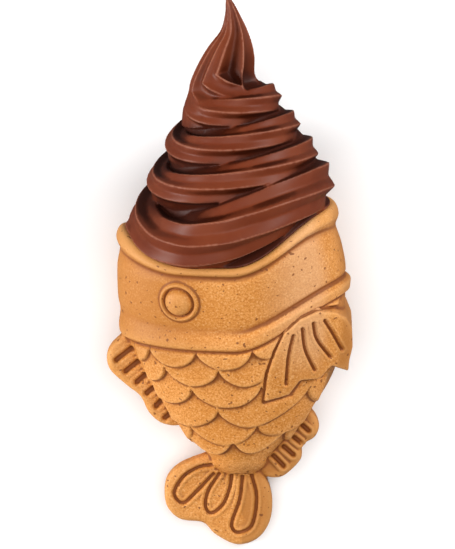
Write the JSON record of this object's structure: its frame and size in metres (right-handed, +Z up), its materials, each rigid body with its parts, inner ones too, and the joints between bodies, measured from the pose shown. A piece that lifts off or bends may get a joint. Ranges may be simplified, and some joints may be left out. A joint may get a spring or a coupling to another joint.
{
  "type": "taiyaki ice cream cone",
  "caption": "Fish-shaped waffle cone with an open mouth that holds a tall swirl of chocolate soft serve, lying on its back.",
  "frame": {"origin": "centre of the bounding box's bottom face, on the surface the cone lies on", "axes": "+Z up out of the surface, +Y from the fish's tail towards the tip of the ice cream, +X to the right as seen from above"},
  "size_m": [0.1034, 0.2309, 0.0846],
  "materials": {
    "waffle": "baked golden brown batter, fine dry grain, slightly oily on the high edges",
    "chocolate_ice_cream": "smooth chocolate soft serve with a soft moist sheen"
  },
  "bodies": {
    "root": {"waffle_cone": "waffle", "soft_serve": "chocolate_ice_cream"}
  },
  "joints": []
}
